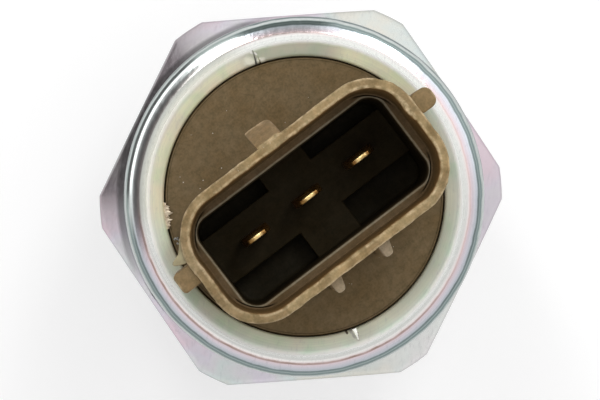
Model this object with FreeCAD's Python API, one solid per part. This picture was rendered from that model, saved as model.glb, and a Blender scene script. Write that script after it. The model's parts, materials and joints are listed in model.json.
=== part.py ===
import FreeCAD, Part
import math
import os

# Fuel pressure sensor with a hexagonal steel housing, a crimped collar and a three-way plug socket.
# Millimetres and degrees. The origin is the middle of the nose's end face, +Z points up out of the
# plug socket, and +X runs along the row of terminals. The latch wedge faces -Y.

# Housing, outside
nose_inset = 1.6
nose_length = 5.5
nose_edge = 0.7
thread_diameter = 18.0
thread_depth = 0.9
thread_length = 12.0
relief_depth = 1.2
relief_length = 2.0
turned_fillet = 0.4
hex_across_flats = 27.0
hex_across_corners = 29.9
hex_height = 11.0
hex_chamfer_angle = 30.0
hex_turn = -3.1
washer_face_inset = 0.8
washer_face_height = 0.4
collar_wall = 1.9

# Crimped lip at the top of the collar
lip_overhang = 0.95
lip_thickness = 1.5
lip_outer_radius = 0.8
lip_shoulder_width = 1.1
lip_shoulder_drop = 0.3
lip_crest_width = 0.7
lip_inner_drop = 0.45
lip_edge_radius = 0.3
notch_angle = 72.5
notch_width = 0.5
notch_length = 1.1
notch_depth = 0.6

# Housing, inside
port_diameter = 3.0
port_length = 5.0
seat_half_angle = 60.0
clamp_thread_diameter = 12.0
chamber_diameter = 17.6
chamber_floor_rise = 4.4
plug_seat_rise = 2.0
plug_seat_width = 2.2

# Pressure stem and the ring that clamps it
stem_rise = 0.15
stem_flange_diameter = 9.4
stem_flange_height = 3.5
stem_neck_diameter = 6.5
stem_bore_diameter = 2.5
stem_root_radius = 0.5
diaphragm_thickness = 0.6
clamp_height = 6.0
clamp_socket_across_flats = 8.4
clamp_socket_depth = 2.5
clamp_edge = 0.5

# Gauge chip, board and what is on the board
glass_side = 3.7
glass_thickness = 0.1
gauge_side = 3.4
gauge_thickness = 0.3
board_gap = 0.3
board_hole_gap = 0.75
board_thickness = 0.8
adhesive_thickness = 0.15
adhesive_width = 2.0
amplifier_length = 3.2
amplifier_width = 2.0
trimmer_length = 2.6
trimmer_width = 1.9
chip_height = 0.5
chip_inset = 2.2
chip_shift = 0.8
capacitor_length = 1.6
capacitor_width = 0.8
capacitor_height = 0.7
capacitor_pitch = 1.6
capacitor_inset = 2.2
capacitor_end = 0.3
capacitor_proud = 0.05
capacitor_count = 3
bond_wire_diameter = 0.12
bond_pad_inset = 0.45
bond_wire_pitch = 1.2
bond_wire_rise = 0.6
bond_wire_bend = 0.35
gel_margin = 0.35
gel_height = 1.6
gel_lean = 0.2
gel_round = 0.6
contact_pin_diameter = 1.0
contact_head_diameter = 1.6
contact_head_height = 0.3
solder_width = 0.3
solder_height = 0.25

# Terminals
terminal_pitch = 4.5
terminal_width = 2.2
terminal_thickness = 0.64
terminal_reach = 6.5
terminal_tip_length = 1.2
terminal_tip_width = 1.5
terminal_tip_thickness = 0.3
terminal_bend_radius = 0.5
terminal_foot_drop = 2.5
terminal_foot_gap = 0.3

# Moulded plug body
shroud_end_margin = 0.58
shroud_width = 10.15
shroud_corner_radius = 3.6
shroud_height = 16.0
shroud_offset = 0.5
shroud_flare = 0.05
shroud_wall = 0.7
rim_radius = 0.2
mouth_depth = 5.0
mouth_taper = 0.15
ledge_width = 0.7
ledge_bevel = 0.25
throat_corner_radius = 1.2
socket_depth = 13.0
pocket_depth = 2.5
cross_width = 3.75
disc_recess = 0.5
disc_gap = 0.12
disc_edge_radius = 0.1
flange_gap = 0.08
flange_height = 6.0
seal_gland_height = 2.6
seal_gland_width = 1.7
seal_height = 2.2
seal_round = 0.75
skirt_depth = 3.0
skirt_gap = 0.2
skirt_wall = 0.8
latch_width = 2.0
latch_reach = 1.4
latch_ramp = 3.4
latch_heel = 0.6
latch_corner_radius = 0.3
key_width = 1.5
key_reach = 1.4
key_shift = -1.0
key_drop = 0.35
key_clearance = 0.7
key_corner_radius = 0.3
rib_width = 0.88
rib_reach = 0.95
rib_slant = 0.28
rib_spacing = 4.05
rib_drop = 1.8
moulding_round = 0.2

# Carrier that holds the terminals, and the sealant above it
carrier_height = 2.5
carrier_gap = 0.1
sealant_height = 0.6

# Running clearances
flange_clearance = 0.1
neck_clearance = 0.15
clamp_end_clearance = 0.4

# Radii and the shroud's length, which follow from the sizes above
r_thread = thread_diameter / 2
r_thread_root = r_thread - thread_depth
r_relief = r_thread - relief_depth
r_nose = r_thread_root - nose_inset
r_port = port_diameter / 2
r_clamp = clamp_thread_diameter / 2
r_chamber = chamber_diameter / 2
r_bore = r_chamber + plug_seat_width
r_collar = r_bore + collar_wall
r_opening = r_bore - lip_overhang
r_disc = r_opening - disc_gap
shroud_length = 2 * (r_disc - shroud_end_margin)
r_spigot = r_bore - seal_gland_width
r_skirt = r_chamber - skirt_gap
r_well = r_skirt - skirt_wall
r_stem_flange = stem_flange_diameter / 2
r_stem_pocket = r_stem_flange + flange_clearance
r_neck = stem_neck_diameter / 2
r_board = r_chamber - board_gap
r_board_hole = r_neck + board_hole_gap
r_bond_pad = r_board_hole + bond_pad_inset
r_gel = r_bond_pad + gel_margin

# Heights that follow from the sizes above
seat_slope = 1 / math.tan(math.radians(seat_half_angle))
z_thread = nose_length
z_relief = z_thread + thread_length
z_hex = z_relief + relief_length
z_collar = z_hex + hex_height
z_seat = z_collar + plug_seat_rise
z_lip_under = z_seat + flange_height
z_lip = z_lip_under + lip_thickness
z_stem_flange = port_length + (r_stem_flange - r_port) * seat_slope
z_flange_top = z_stem_flange + stem_flange_height
z_clamp_top = z_flange_top + clamp_height
z_chamber = z_hex + chamber_floor_rise
z_board = z_chamber + adhesive_thickness
z_board_top = z_board + board_thickness
z_stem_top = z_board_top + stem_rise
z_gauge = z_stem_top + glass_thickness
z_gauge_top = z_gauge + gauge_thickness
z_skirt = z_seat - skirt_depth
z_foot = z_seat - terminal_foot_drop
z_carrier = z_foot + terminal_thickness
z_sealant = z_carrier + carrier_height
z_well = z_sealant + sealant_height
z_disc = z_lip - disc_recess
z_rim = z_disc + shroud_height
z_ledge = z_rim - mouth_depth
z_floor = z_rim - socket_depth
z_pocket = z_floor - pocket_depth
z_tip = z_floor + terminal_reach

UP = FreeCAD.Vector(0, 0, 1)
SMALLEST = 1e-6


def upright(a, b):
    """A point of a section that is turned about Z: radius a, height b."""
    return FreeCAD.Vector(a, 0, b)


def level(z):
    """Places the points of an outline in the flat plane at height z."""
    return lambda a, b: FreeCAD.Vector(a, b, z)


def across(x):
    """Places the points of an outline in the plane at x, as (y, z)."""
    return lambda a, b: FreeCAD.Vector(x, a, b)


def along(y):
    """Places the points of an outline in the plane at y, as (x, z)."""
    return lambda a, b: FreeCAD.Vector(a, y, b)


def rounded_edges(corners, place, closed):
    """Edges through corners (a, b) or (a, b, radius), rounded where a radius is given."""
    count = len(corners)
    pieces = []
    for i, corner in enumerate(corners):
        here = FreeCAD.Vector(corner[0], corner[1], 0)
        radius = corner[2] if len(corner) > 2 else 0
        if radius <= 0:
            pieces.append([here])
            continue
        before = FreeCAD.Vector(*corners[i - 1][:2], 0)
        after = FreeCAD.Vector(*corners[(i + 1) % count][:2], 0)
        to_before = (before - here).normalize()
        to_after = (after - here).normalize()
        half = to_before.getAngle(to_after) / 2
        middle_way = (to_before + to_after).normalize()
        centre = here + middle_way * (radius / math.sin(half))
        tangent = radius / math.tan(half)
        pieces.append([here + to_before * tangent, centre - middle_way * radius, here + to_after * tangent])
    edges = []
    for i, piece in enumerate(pieces):
        spots = [place(p.x, p.y) for p in piece]
        if len(spots) == 3:
            edges.append(Part.Arc(*spots).toShape())
        if i == count - 1 and not closed:
            break
        following = pieces[(i + 1) % count][0]
        end = place(following.x, following.y)
        if (end - spots[-1]).Length > SMALLEST:
            edges.append(Part.LineSegment(spots[-1], end).toShape())
    return edges


def outline(corners, place):
    """A closed wire through corners, as rounded_edges reads them."""
    return Part.Wire(rounded_edges(corners, place, True))


def rounded_path(corners, place):
    """An open wire through corners, as rounded_edges reads them."""
    return Part.Wire(rounded_edges(corners, place, False))


def turned(corners):
    """The solid that a section of (radius, height) corners makes when it is turned about Z."""
    return Part.Face(outline(corners, upright)).revolve(FreeCAD.Vector(), UP, 360)


def tube(outer_radius, inner_radius, z, height):
    """A plain ring, or a disc where the inner radius is 0."""
    shape = Part.makeCylinder(outer_radius, height, FreeCAD.Vector(0, 0, z))
    if inner_radius > 0:
        shape = shape.cut(Part.makeCylinder(inner_radius, height, FreeCAD.Vector(0, 0, z)))
    return shape


def hexagon(across_flats, z, height, turn):
    """A hexagonal prism with a flat facing the direction turn."""
    corner = across_flats / 2 / math.cos(math.radians(30))
    angles = [math.radians(turn + 30 + 60 * i) for i in range(6)]
    wire = outline([(corner * math.cos(a), corner * math.sin(a)) for a in angles], level(z))
    return Part.Face(wire).extrude(UP * height)


def block(centre_x, centre_y, length, width, z, height, radius=0):
    """An upright block with its corners rounded where a radius is given."""
    left, right = centre_x - length / 2, centre_x + length / 2
    front, back = centre_y - width / 2, centre_y + width / 2
    corners = [(left, front, radius), (right, front, radius), (right, back, radius), (left, back, radius)]
    return Part.Face(outline(corners, level(z))).extrude(UP * height)


def tapered(length, width, radius, z, flare, height):
    """A rounded block on the socket's middle line that grows by flare on each side as it rises by height."""
    wires = []
    for grow, at in ((0, z), (flare, z + height)):
        half_length, half_width = length / 2 + grow, width / 2 + grow
        corners = [
            (-half_length, shroud_offset - half_width, radius + grow),
            (half_length, shroud_offset - half_width, radius + grow),
            (half_length, shroud_offset + half_width, radius + grow),
            (-half_length, shroud_offset + half_width, radius + grow),
        ]
        wires.append(outline(corners, level(at)))
    return Part.makeLoft(wires, True, True)


def soften_top(shape, radius):
    """The shape with the edges of its flat top rounded."""
    z = shape.BoundBox.ZMax
    top = [edge for edge in shape.Edges if all(abs(v.Z - z) < radius / 10 for v in edge.Vertexes)]
    return shape.makeFillet(radius, top)


def housing():
    """The plated steel body: nose, threaded shank, hexagon and crimped collar, in one piece."""
    shoulder = r_collar - lip_shoulder_width
    crest = shoulder - lip_crest_width
    inside_hex = washer_face_height / 2
    core = turned([
        (0, 0),
        (r_nose - nose_edge, 0),
        (r_nose, nose_edge),
        (r_nose, z_thread, turned_fillet),
        (r_thread_root, z_thread),
        (r_thread, z_thread + thread_depth),
        (r_thread, z_relief - relief_depth),
        (r_relief, z_relief, turned_fillet),
        (r_relief, z_hex, turned_fillet),
        (r_bore, z_hex),
        (r_bore, z_collar - inside_hex),
        (r_collar, z_collar - inside_hex),
        (r_collar, z_lip - lip_shoulder_drop, lip_outer_radius),
        (shoulder, z_lip, lip_edge_radius),
        (crest, z_lip, lip_edge_radius),
        (r_opening, z_lip - lip_inner_drop, lip_edge_radius),
        (r_opening, z_lip_under),
        (0, z_lip_under),
    ])
    return core.fuse(hex_section()).cut(bore()).cut(crimp_notches()).removeSplitter()


def hex_section():
    """The hexagon, turned down at its corners, with a chamfer above and a washer face below."""
    corner = hex_across_corners / 2
    washer = hex_across_flats / 2 - washer_face_inset
    slope = math.tan(math.radians(hex_chamfer_angle))
    z_low = z_hex + washer_face_height
    envelope = turned([
        (0, z_hex),
        (washer, z_hex),
        (washer, z_low),
        (corner, z_low + (corner - washer) * slope),
        (corner, z_collar - (corner - r_collar) * slope),
        (r_collar, z_collar),
        (0, z_collar),
    ])
    return hexagon(hex_across_flats, z_hex, hex_height, hex_turn).common(envelope)


def bore():
    """The space inside the housing, from the pressure port up to the crimped lip."""
    z_cone_top = port_length + (r_stem_pocket - r_port) * seat_slope
    z_clamp = z_flange_top - clamp_end_clearance
    return turned([
        (0, -nose_edge),
        (r_port, -nose_edge),
        (r_port, port_length),
        (r_stem_pocket, z_cone_top),
        (r_stem_pocket, z_clamp),
        (r_clamp, z_clamp),
        (r_clamp, z_chamber),
        (r_chamber, z_chamber),
        (r_chamber, z_seat),
        (r_bore, z_seat),
        (r_bore, z_lip_under),
        (r_opening, z_lip_under),
        (r_opening, z_lip - lip_inner_drop),
        (0, z_lip - lip_inner_drop),
    ])


def crimp_notches():
    """The two opposite V-shaped marks that the crimping tool leaves in the lip."""
    bottom = z_lip - lip_inner_drop - notch_depth
    half = notch_width / 2
    section = outline([(0, bottom), (half, z_lip + half), (-half, z_lip + half)], across(r_opening - half))
    mark = Part.Face(section).extrude(FreeCAD.Vector(notch_length + half, 0, 0))
    marks = []
    for opposite in (0, 180):
        turned_mark = mark.copy()
        turned_mark.rotate(FreeCAD.Vector(), UP, notch_angle + opposite)
        marks.append(turned_mark)
    return Part.makeCompound(marks)


def pressure_stem():
    """The hollow stem with a conical sealing end below and a thin diaphragm on top."""
    hollow = stem_bore_diameter / 2
    z_land = port_length + (r_port - hollow) * seat_slope
    return turned([
        (hollow, z_land),
        (r_port, z_land),
        (r_port + (z_land - port_length) / seat_slope, z_land),
        (r_stem_flange, z_stem_flange),
        (r_stem_flange, z_flange_top),
        (r_neck, z_flange_top, stem_root_radius / 2),
        (r_neck, z_stem_top),
        (0, z_stem_top),
        (0, z_stem_top - diaphragm_thickness),
        (hollow, z_stem_top - diaphragm_thickness, stem_root_radius),
    ])


def stem_clamp_ring():
    """The threaded ring that presses the stem onto its seat, with a hexagonal socket for the key."""
    inside = r_neck + neck_clearance
    ring = turned([
        (inside + clamp_edge, z_flange_top),
        (r_clamp - clamp_edge, z_flange_top),
        (r_clamp, z_flange_top + clamp_edge),
        (r_clamp, z_clamp_top - clamp_edge),
        (r_clamp - clamp_edge, z_clamp_top),
        (inside, z_clamp_top),
        (inside, z_flange_top + clamp_edge),
    ])
    return ring.cut(hexagon(clamp_socket_across_flats, z_clamp_top - clamp_socket_depth, clamp_socket_depth, 0))


def chip_glass():
    """The fired glass that bonds the gauge chip to the diaphragm."""
    return block(0, 0, glass_side, glass_side, z_stem_top, glass_thickness, glass_thickness)


def strain_gauge_chip():
    """The silicon chip that stretches with the diaphragm."""
    return block(0, 0, gauge_side, gauge_side, z_gauge, gauge_thickness)


def circuit_board():
    """The round ceramic board, with a hole that the stem's head stands in."""
    return tube(r_board, r_board_hole, z_board, board_thickness)


def board_adhesive():
    """The ring of adhesive between the board and the chamber floor."""
    return tube(r_board, r_board - adhesive_width, z_chamber, adhesive_thickness)


def amplifier_chip():
    """The packaged amplifier on one side of the board."""
    return block(chip_inset - r_board, chip_shift, amplifier_width, amplifier_length, z_board_top, chip_height)


def trimming_chip():
    """The packaged trimming circuit on the other side of the board."""
    return block(r_board - chip_inset, chip_shift, trimmer_width, trimmer_length, z_board_top, chip_height)


def chip_capacitors():
    """The row of chip capacitors, each with end caps a little proud of its body."""
    row_y = capacitor_inset - r_board
    parts = []
    for i in range(capacitor_count):
        x = (i - (capacitor_count - 1) / 2) * capacitor_pitch
        body = block(x, row_y, capacitor_width - 2 * capacitor_proud, capacitor_length - 2 * capacitor_end,
                     z_board_top + capacitor_proud, capacitor_height - 2 * capacitor_proud)
        for side in (-1, 1):
            y = row_y + side * (capacitor_length - capacitor_end) / 2
            cap = block(x, y, capacitor_width, capacitor_end, z_board_top, capacitor_height)
            body = body.fuse(cap)
        parts.append(body)
    return Part.makeCompound(parts)


def wire_loops():
    """Four looped wires from the gauge chip to pads beside the board's hole."""
    wires = []
    start = gauge_side / 2 - 2 * bond_wire_diameter
    z_loop = z_gauge_top + bond_wire_rise
    for side in (-1, 1):
        for row in (-1, 1):
            y = row * bond_wire_pitch / 2
            path = rounded_path([
                (side * start, z_gauge_top),
                (side * start, z_loop, bond_wire_bend),
                (side * r_bond_pad, z_loop, bond_wire_bend),
                (side * r_bond_pad, z_board_top),
            ], along(y))
            foot = FreeCAD.Vector(side * start, y, z_gauge_top)
            section = Part.Wire(Part.makeCircle(bond_wire_diameter / 2, foot, UP))
            wires.append(path.makePipeShell([section], True, True))
    return Part.makeCompound(wires)


def protective_gel(covered):
    """The drop of clear gel over the gauge chip, its wires and their pads."""
    drop = turned([
        (0, z_stem_top),
        (r_neck, z_stem_top),
        (r_neck, z_board_top),
        (r_gel, z_board_top),
        (r_gel - gel_lean, z_board_top + gel_height, gel_round),
        (0, z_board_top + gel_height),
    ])
    return drop.cut(covered)


def foot_ends():
    """Where each terminal's foot ends: its x, its direction along Y and its length inside the skirt."""
    ways = {"terminal_left": (-1, -1), "terminal_middle": (0, 1), "terminal_right": (1, -1)}
    ends = {}
    for name, (place, way) in ways.items():
        x = place * terminal_pitch
        corner = abs(x) + terminal_width / 2
        ends[name] = (x, way, math.sqrt((r_well - terminal_foot_gap) ** 2 - corner ** 2))
    return ends


def contact_spots():
    """The middle of each contact pin on the board, under the end of a terminal's foot."""
    inset = contact_head_diameter / 2
    return [(x, way * (length - inset)) for x, way, length in foot_ends().values()]


def contact_pins():
    """The three headed pins that stand on the board and carry the terminals' feet."""
    pins = []
    for x, y in contact_spots():
        head = Part.makeCylinder(contact_head_diameter / 2, contact_head_height, FreeCAD.Vector(x, y, z_board_top))
        height = z_foot - z_board_top
        shank = Part.makeCylinder(contact_pin_diameter / 2, height, FreeCAD.Vector(x, y, z_board_top))
        pins.append(head.fuse(shank).removeSplitter())
    return Part.makeCompound(pins)


def pin_solder():
    """The fillet of solder around each contact pin's head."""
    head = contact_head_diameter / 2
    fillet = turned([(head, 0), (head + solder_width, 0), (head, solder_height)])
    rings = []
    for x, y in contact_spots():
        ring = fillet.copy()
        ring.translate(FreeCAD.Vector(x, y, z_board_top))
        rings.append(ring)
    return Part.makeCompound(rings)


def terminal(x, way, length):
    """One bent strip: a foot along Y, a rounded bend, and a blade with a tapered tip."""
    half, low = terminal_thickness / 2, z_foot
    inner, outer = terminal_bend_radius, terminal_bend_radius + terminal_thickness
    z_taper = z_tip - terminal_tip_length
    profile = outline([
        (way * length, low),
        (way * length, low + terminal_thickness),
        (way * half, low + terminal_thickness, inner),
        (way * half, z_taper),
        (way * terminal_tip_thickness / 2, z_tip),
        (-way * terminal_tip_thickness / 2, z_tip),
        (-way * half, z_taper),
        (-way * half, low, outer),
    ], across(x - terminal_width / 2))
    strip = Part.Face(profile).extrude(FreeCAD.Vector(terminal_width, 0, 0))
    side, tip = terminal_width / 2, terminal_tip_width / 2
    front = outline([
        (x - side, low),
        (x + side, low),
        (x + side, z_taper),
        (x + tip, z_tip),
        (x - tip, z_tip),
        (x - side, z_taper),
    ], along(-length - outer))
    return strip.common(Part.Face(front).extrude(FreeCAD.Vector(0, 2 * (length + outer), 0)))


def terminals():
    """The three terminals by name."""
    return {name: terminal(*spot) for name, spot in foot_ends().items()}


def terminal_carrier(strips):
    """The first moulding, which holds the three terminals side by side above their feet."""
    return tube(r_well - carrier_gap, 0, z_carrier, carrier_height).cut(strips)


def terminal_sealant(strips):
    """The layer of sealant around the terminals, between the carrier and the plug body."""
    return tube(r_well, 0, z_sealant, sealant_height).cut(strips)


def seal_ring():
    """The O-ring, squeezed between the plug body's spigot and the collar."""
    top = z_seat + seal_height
    return turned([
        (r_spigot, z_seat, seal_round),
        (r_bore, z_seat, seal_round),
        (r_bore, top, seal_round),
        (r_spigot, top, seal_round),
    ])


def flange():
    """The round part of the plug body: disc, clamped flange, spigot and skirt, with the well below."""
    z_gland = z_seat + seal_gland_height
    return turned([
        (0, z_well),
        (r_well, z_well),
        (r_well, z_skirt),
        (r_skirt, z_skirt),
        (r_skirt, z_seat),
        (r_spigot, z_seat),
        (r_spigot, z_gland),
        (r_bore - flange_gap, z_gland, moulding_round),
        (r_bore - flange_gap, z_lip_under),
        (r_disc, z_lip_under),
        (r_disc, z_disc, disc_edge_radius),
        (0, z_disc),
    ])


def shroud():
    """The wall around the plug socket, slightly wider at its foot, before the socket is cut."""
    foot_length, foot_width = shroud_length + 2 * shroud_flare, shroud_width + 2 * shroud_flare
    foot_radius = shroud_corner_radius + shroud_flare
    start = z_disc - moulding_round
    wall = tapered(foot_length, foot_width, foot_radius, start, -shroud_flare, z_rim - start)
    return soften_top(wall, rim_radius)


def socket():
    """The stepped space that the mating plug enters, with four corner pockets around a cross."""
    entry_length = shroud_length - 2 * (shroud_wall + mouth_taper)
    entry_width = shroud_width - 2 * (shroud_wall + mouth_taper)
    entry_radius = shroud_corner_radius - shroud_wall - mouth_taper
    mouth = tapered(entry_length, entry_width, entry_radius, z_ledge, mouth_taper, mouth_depth)
    length, width = entry_length - 2 * ledge_width, entry_width - 2 * ledge_width
    throat = block(0, shroud_offset, length, width, z_floor, z_ledge - z_floor, throat_corner_radius)
    bevel = tapered(length, width, throat_corner_radius, z_ledge - ledge_bevel, ledge_bevel, ledge_bevel)
    pockets = block(0, shroud_offset, length, width, z_pocket, z_floor - z_pocket, throat_corner_radius)
    bar = block(0, 0, 2 * shroud_length, cross_width, z_pocket, pocket_depth)
    column = block(0, 0, cross_width, 2 * shroud_length, z_pocket, pocket_depth)
    return mouth.fuse([throat, bevel, pockets.cut([bar, column])])


def latch_wedge():
    """The ramp that the mating plug's latch climbs and snaps behind."""
    wall = shroud_offset - shroud_width / 2
    root = wall + shroud_wall / 2
    z_top = z_rim - rim_radius
    z_peak = z_top - latch_ramp
    section = outline([
        (root, z_top),
        (wall - moulding_round, z_top, moulding_round),
        (wall - latch_reach, z_peak, moulding_round),
        (root, z_peak - latch_heel),
    ], across(-latch_width / 2))
    wedge = Part.Face(section).extrude(FreeCAD.Vector(latch_width, 0, 0))
    half, round_off = latch_width / 2, latch_corner_radius
    plan = outline([
        (-half, root),
        (-half, wall - latch_reach, round_off),
        (half, wall - latch_reach, round_off),
        (half, root),
    ], level(z_peak - latch_heel))
    return wedge.common(Part.Face(plan).extrude(UP * (latch_ramp + latch_heel)))


def end_key(side):
    """The key on one end of the shroud, which stops short of the crimped lip."""
    sunk = shroud_wall / 2
    x = side * (shroud_length / 2 + (key_reach - sunk) / 2)
    z_low = z_lip + key_clearance
    height = z_rim - key_drop - z_low
    key = block(x, shroud_offset + key_shift, key_reach + sunk, key_width, z_low, height, key_corner_radius)
    return soften_top(key, moulding_round / 2)


def back_rib(side):
    """One of the two ribs on the shroud's back, which stand on the disc and slant on one side."""
    wall = shroud_offset + shroud_width / 2
    left = side * rib_spacing / 2 - rib_width / 2
    z_low = z_disc - moulding_round
    plan = outline([
        (left, wall - shroud_wall / 2),
        (left + rib_width, wall - shroud_wall / 2),
        (left + rib_width, wall + rib_reach, moulding_round),
        (left + rib_slant, wall + rib_reach, moulding_round),
        (left, wall),
    ], level(z_low))
    rib = Part.Face(plan).extrude(UP * (z_rim - rib_drop - z_low))
    return soften_top(rib, moulding_round / 2)


def plug_body(strips):
    """The brown moulding: flange, shroud, latch wedge, keys and ribs, around the terminals."""
    outside = [shroud(), latch_wedge()]
    for side in (-1, 1):
        outside += [end_key(side), back_rib(side)]
    return flange().fuse(outside).cut(socket()).cut(strips).removeSplitter()


def main():
    os.makedirs("parts", exist_ok=True)
    blades = terminals()
    strips = Part.makeCompound(list(blades.values()))
    glass = chip_glass()
    gauge = strain_gauge_chip()
    wires = wire_loops()
    pieces = {
        "housing": housing(),
        "pressure_stem": pressure_stem(),
        "stem_clamp_ring": stem_clamp_ring(),
        "chip_glass": glass,
        "strain_gauge_chip": gauge,
        "circuit_board": circuit_board(),
        "board_adhesive": board_adhesive(),
        "amplifier_chip": amplifier_chip(),
        "trimming_chip": trimming_chip(),
        "chip_capacitors": chip_capacitors(),
        "bond_wires": wires,
        "protective_gel": protective_gel([glass, gauge, wires]),
        "contact_pins": contact_pins(),
        "pin_solder": pin_solder(),
        "terminal_carrier": terminal_carrier(strips),
        "terminal_sealant": terminal_sealant(strips),
        "seal_ring": seal_ring(),
        "plug_body": plug_body(strips),
        **blades,
    }
    for name, shape in pieces.items():
        for solid in shape.Solids:
            if not solid.isValid():
                print("not valid:", name)
        shape.exportStep(f"parts/{name}.step")
        box = shape.BoundBox
        print(f"{name}: {len(shape.Solids)} solids, {shape.Volume:.2f} mm3, z {box.ZMin:.2f} to {box.ZMax:.2f}")


main()
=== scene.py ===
import json
import math

import bmesh
import bpy
from mathutils import Matrix, Vector, noise


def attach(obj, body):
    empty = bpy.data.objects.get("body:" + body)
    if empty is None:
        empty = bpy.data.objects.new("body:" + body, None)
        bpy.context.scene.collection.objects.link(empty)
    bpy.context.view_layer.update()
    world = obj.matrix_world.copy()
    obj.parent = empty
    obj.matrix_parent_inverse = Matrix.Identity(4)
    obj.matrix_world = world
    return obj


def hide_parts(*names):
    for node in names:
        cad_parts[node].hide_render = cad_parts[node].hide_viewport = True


# Fuel pressure sensor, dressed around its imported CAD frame. Sizes here are in millimetres and
# degrees, in the frame of the CAD model, and MM turns them into Blender's metres.

MM = 0.001
MICRON = 1e-6

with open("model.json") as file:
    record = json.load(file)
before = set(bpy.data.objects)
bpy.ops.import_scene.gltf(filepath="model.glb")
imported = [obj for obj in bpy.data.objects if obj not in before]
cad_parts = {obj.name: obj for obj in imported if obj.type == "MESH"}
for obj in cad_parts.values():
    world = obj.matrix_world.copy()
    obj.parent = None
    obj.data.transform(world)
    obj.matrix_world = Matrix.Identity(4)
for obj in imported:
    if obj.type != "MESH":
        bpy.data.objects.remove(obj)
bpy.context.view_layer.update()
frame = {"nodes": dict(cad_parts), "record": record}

# Camera, placed as the photograph was taken, and the room. Each lamp has a heading, width and power.
CAMERA_TARGET = (0.192, 0.101, 30.0)
CAMERA_DISTANCE = 271.0
CAMERA_TURN = 142.754
CAMERA_LEAN_X = -1.286
CAMERA_LEAN_Y = 0.603
CAMERA_LENS = 219.55
SENSOR_WIDTH = 36.0
ROOM_LEVEL = 1.20
FLOOR_HALF = 600
LAMP_REACH = 132
LAMP_RISE = 230
LAMP_LENGTH = 130
LAMPS = [("right_lamp", 61, 42, 0.096), ("left_lamp", 117, 34, 0.082)]

# Housing, as the CAD model has it, with the hexagon's corners a hair inside
NOSE_RADIUS = 6.5
NOSE_EDGE = 0.7
THREAD_LOW = 5.5
THREAD_HIGH = 17.2
THREAD_ROOT = 8.1
THREAD_CREST = 9.0
THREAD_PITCH = 1.5
RELIEF_RADIUS = 7.8
RELIEF_LOW = 17.5
HEX_LOW = 19.5
HEX_HIGH = 30.5
HEX_FLAT = 13.5
HEX_CORNER = 14.944
HEX_TURN = -3.1
HEX_SLOPE = math.tan(math.radians(30))
WASHER_RADIUS = 12.7
WASHER_TOP = 19.9
COLLAR_RADIUS = 12.9
LIP_TOP = 40.0
LIP_UNDER = 38.5
LIP_OPENING = 10.05
LIP_RIDGE = 11.1
LIP_CREST = 11.75
LIP_SHOULDER = 12.4
LIP_SHOULDER_TOP = 39.86
LIP_EDGE = 39.68
BORE_RADIUS = 11.0
CHAMBER_RADIUS = 8.8
CHAMBER_FLOOR = 23.9
CLAMP_BORE_RADIUS = 6.0
CLAMP_BORE_LOW = 9.95
STEM_POCKET_RADIUS = 4.8
STEM_POCKET_LOW = 6.9053
PORT_RADIUS = 1.5
PORT_TOP = 5.0
PORT_EDGE = 0.2

# Plug body, as the CAD model has it
WELL_RADIUS = 7.8
WELL_TOP = 33.74
SKIRT_RADIUS = 8.6
SKIRT_LOW = 29.5
SEAT_HEIGHT = 32.5
SPIGOT_RADIUS = 9.3
GLAND_TOP = 35.1
FLANGE_RADIUS = 10.92
DISC_RADIUS = 9.93
DISC_TOP = 39.5
DISC_EDGE = 0.1
SHROUD_HALF_LENGTH = 9.35
SHROUD_HALF_WIDTH = 5.075
SHROUD_CORNER = 3.6
SHROUD_OFFSET = 0.5
SHROUD_FLARE = 0.05
SHROUD_WALL = 0.7
RIM = 55.5
LEDGE = 50.5
MOUTH_TAPER = 0.15
LEDGE_WIDTH = 0.7
LEDGE_BEVEL = 0.25
THROAT_CORNER = 1.2
CROSS_TOP = 42.5
POCKET_FLOOR = 40.0
CROSS_HALF = 1.875
LATCH_REACH = 1.4
LATCH_PEAK = 51.9
KEY_REACH = 1.4
KEY_HALF = 0.75
KEY_MIDDLE = -0.5
KEY_TOP = 55.15
KEY_SUNK = 0.175
KEY_CORNERS = {-1: 0.6, 1: 0.3}
TERMINAL_PITCH = 4.5
TIP_START = 48.4
TIP_SHIFT = 0.13
TERMINAL_EDGE = 0.13
RIB_SPACING = 2.025
RIB_HALF = 0.44
RIB_REACH = 0.95
RIB_SLANT = 0.28
RIB_TOP = 53.7

# The lip's staking marks. Each cut runs from the bore to its tip, with the half width and the depth it
# has at the bore. The facet is the shallow flat of the second mark, by its corners. Each tone runs along
# a line, with its half width at either end and its colour: the pale tones are painted highlights and the
# dark ones painted shade in and beside the cuts. Each painted highlight runs in the same way, where the
# metal is painted bright. Wide pale tones are patches that fade out softly, and the others are lines.
STAKE_CUTS = [
    ((-2.93, -9.50), (-3.34, -10.55), 0.07, 0.30),
    ((-3.10, -9.45), (-3.33, -9.75), 0.05, 0.30),
    ((-3.33, -9.80), (-3.44, -10.06), 0.05, 0.12),
]
STAKE_FACET = [
    (3.01, 9.20, 39.60), (2.62, 9.30, 39.60), (2.80, 9.90, 39.63), (3.17, 10.62, 39.73),
    (3.10, 10.10, 39.66),
]
STAKE_TONES = [
    ((-2.62, -10.15), (-2.95, -9.80), 0.26, 0.18, (1.0, 1.0, 0.84)),
    ((-3.50, -9.58), (-3.27, -9.72), 0.13, 0.13, (1.0, 0.99, 0.86)),
    ((-3.17, -10.50), (-3.20, -10.40), 0.08, 0.06, (1.0, 1.0, 0.95)),
    ((-3.36, -10.32), (-3.40, -10.15), 0.05, 0.05, (1.0, 1.0, 0.95)),
    ((-3.33, -10.53), (-3.17, -9.98), 0.03, 0.05, (0.30, 0.30, 0.26)),
    ((-3.17, -9.98), (-2.98, -9.58), 0.06, 0.10, (0.30, 0.30, 0.26)),
    ((-3.35, -9.70), (-3.14, -9.30), 0.03, 0.05, (0.12, 0.10, 0.05)),
    ((3.40, 9.30), (3.50, 9.60), 0.13, 0.05, (0.10, 0.08, 0.05)),
    ((3.16, 9.42), (3.22, 10.40), 0.13, 0.04, (0.50, 0.50, 0.44)),
]
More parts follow.
